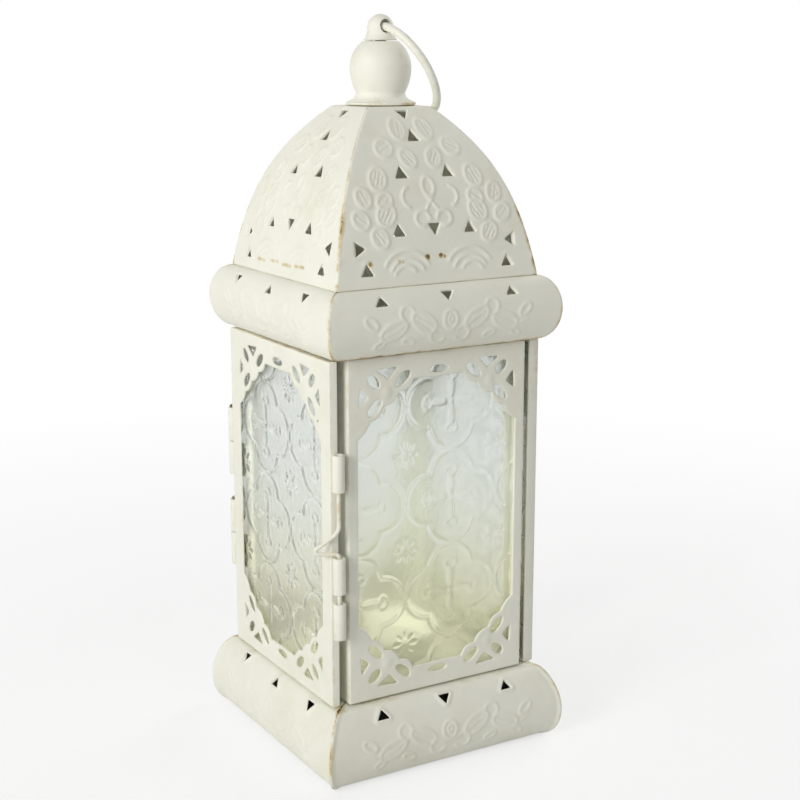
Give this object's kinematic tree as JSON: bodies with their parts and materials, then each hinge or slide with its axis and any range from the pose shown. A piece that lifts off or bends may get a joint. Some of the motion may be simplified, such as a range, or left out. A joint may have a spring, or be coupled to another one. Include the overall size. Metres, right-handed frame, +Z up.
{
  "type": "candle lantern",
  "caption": "Square candle lantern of pressed sheet metal: domed pierced top, glazed openwork sides, hinged door with a drop-bolt latch, and a hanging ring.",
  "frame": {"origin": "on the surface that the lantern stands on, under the middle of its square base", "axes": "+Z up; -Y out through the hinged door; +X towards the latch side"},
  "size_m": [0.1, 0.1, 0.2669],
  "materials": {
    "paint": "satin antique white, worn to ochre along ridges and seams",
    "bare_steel": "dull, darkened",
    "pressed_glass": "clear with a pressed floral relief"
  },
  "bodies": {
    "lantern_body": {"base_moulding_front": "paint", "base_moulding_right": "paint", "base_moulding_back": "paint", "base_moulding_left": "paint", "eave_moulding_front": "paint", "eave_moulding_right": "paint", "eave_moulding_back": "paint", "eave_moulding_left": "paint", "dome_panel_front": "paint", "dome_panel_right": "paint", "dome_panel_back": "paint", "dome_panel_left": "paint", "corner_post_front_left": "paint", "corner_post_front_right": "paint", "corner_post_back_left": "paint", "corner_post_back_right": "paint", "floor_plate": "paint", "candle_cup": "paint", "right_frame": "paint", "right_frame_glass": "pressed_glass", "right_frame_clip_top": "paint", "right_frame_clip_bottom": "paint", "back_frame": "paint", "back_frame_glass": "pressed_glass", "back_frame_clip_top": "paint", "back_frame_clip_bottom": "paint", "left_frame": "paint", "left_frame_glass": "pressed_glass", "left_frame_clip_top": "paint", "left_frame_clip_bottom": "paint", "post_knuckle_upper": "paint", "post_knuckle_lower": "paint", "hinge_pin_upper": "bare_steel", "hinge_pin_lower": "bare_steel", "latch_keeper": "paint", "finial_ball": "paint", "eye_bolt": "paint", "finial_washer": "bare_steel", "finial_nut": "bare_steel"},
    "door": {"door_frame": "paint", "door_frame_glass": "pressed_glass", "door_frame_clip_top": "paint", "door_frame_clip_bottom": "paint", "door_knuckle_upper": "paint", "door_knuckle_lower": "paint", "latch_tube_upper": "paint", "latch_tube_lower": "paint"},
    "latch_bolt": {"latch_bolt": "paint"},
    "ring": {"hanging_ring": "paint"}
  },
  "joints": [
    {"name": "door_hinge", "type": "hinge", "parent": "lantern_body", "child": "door", "pos_m": [-0.0419, -0.0412, 0.0905], "axis": [0, 0, -1], "range_deg": [0, 110]},
    {"name": "latch_slide", "type": "slide", "parent": "door", "child": "latch_bolt", "axis": [0, 0, 1], "range_m": [0, 0.0125]},
    {"name": "ring_swing", "type": "hinge", "parent": "lantern_body", "child": "ring", "pos_m": [0, 0, 0.26271], "axis": [1, 0, 0], "range_deg": [0, 297]}
  ]
}
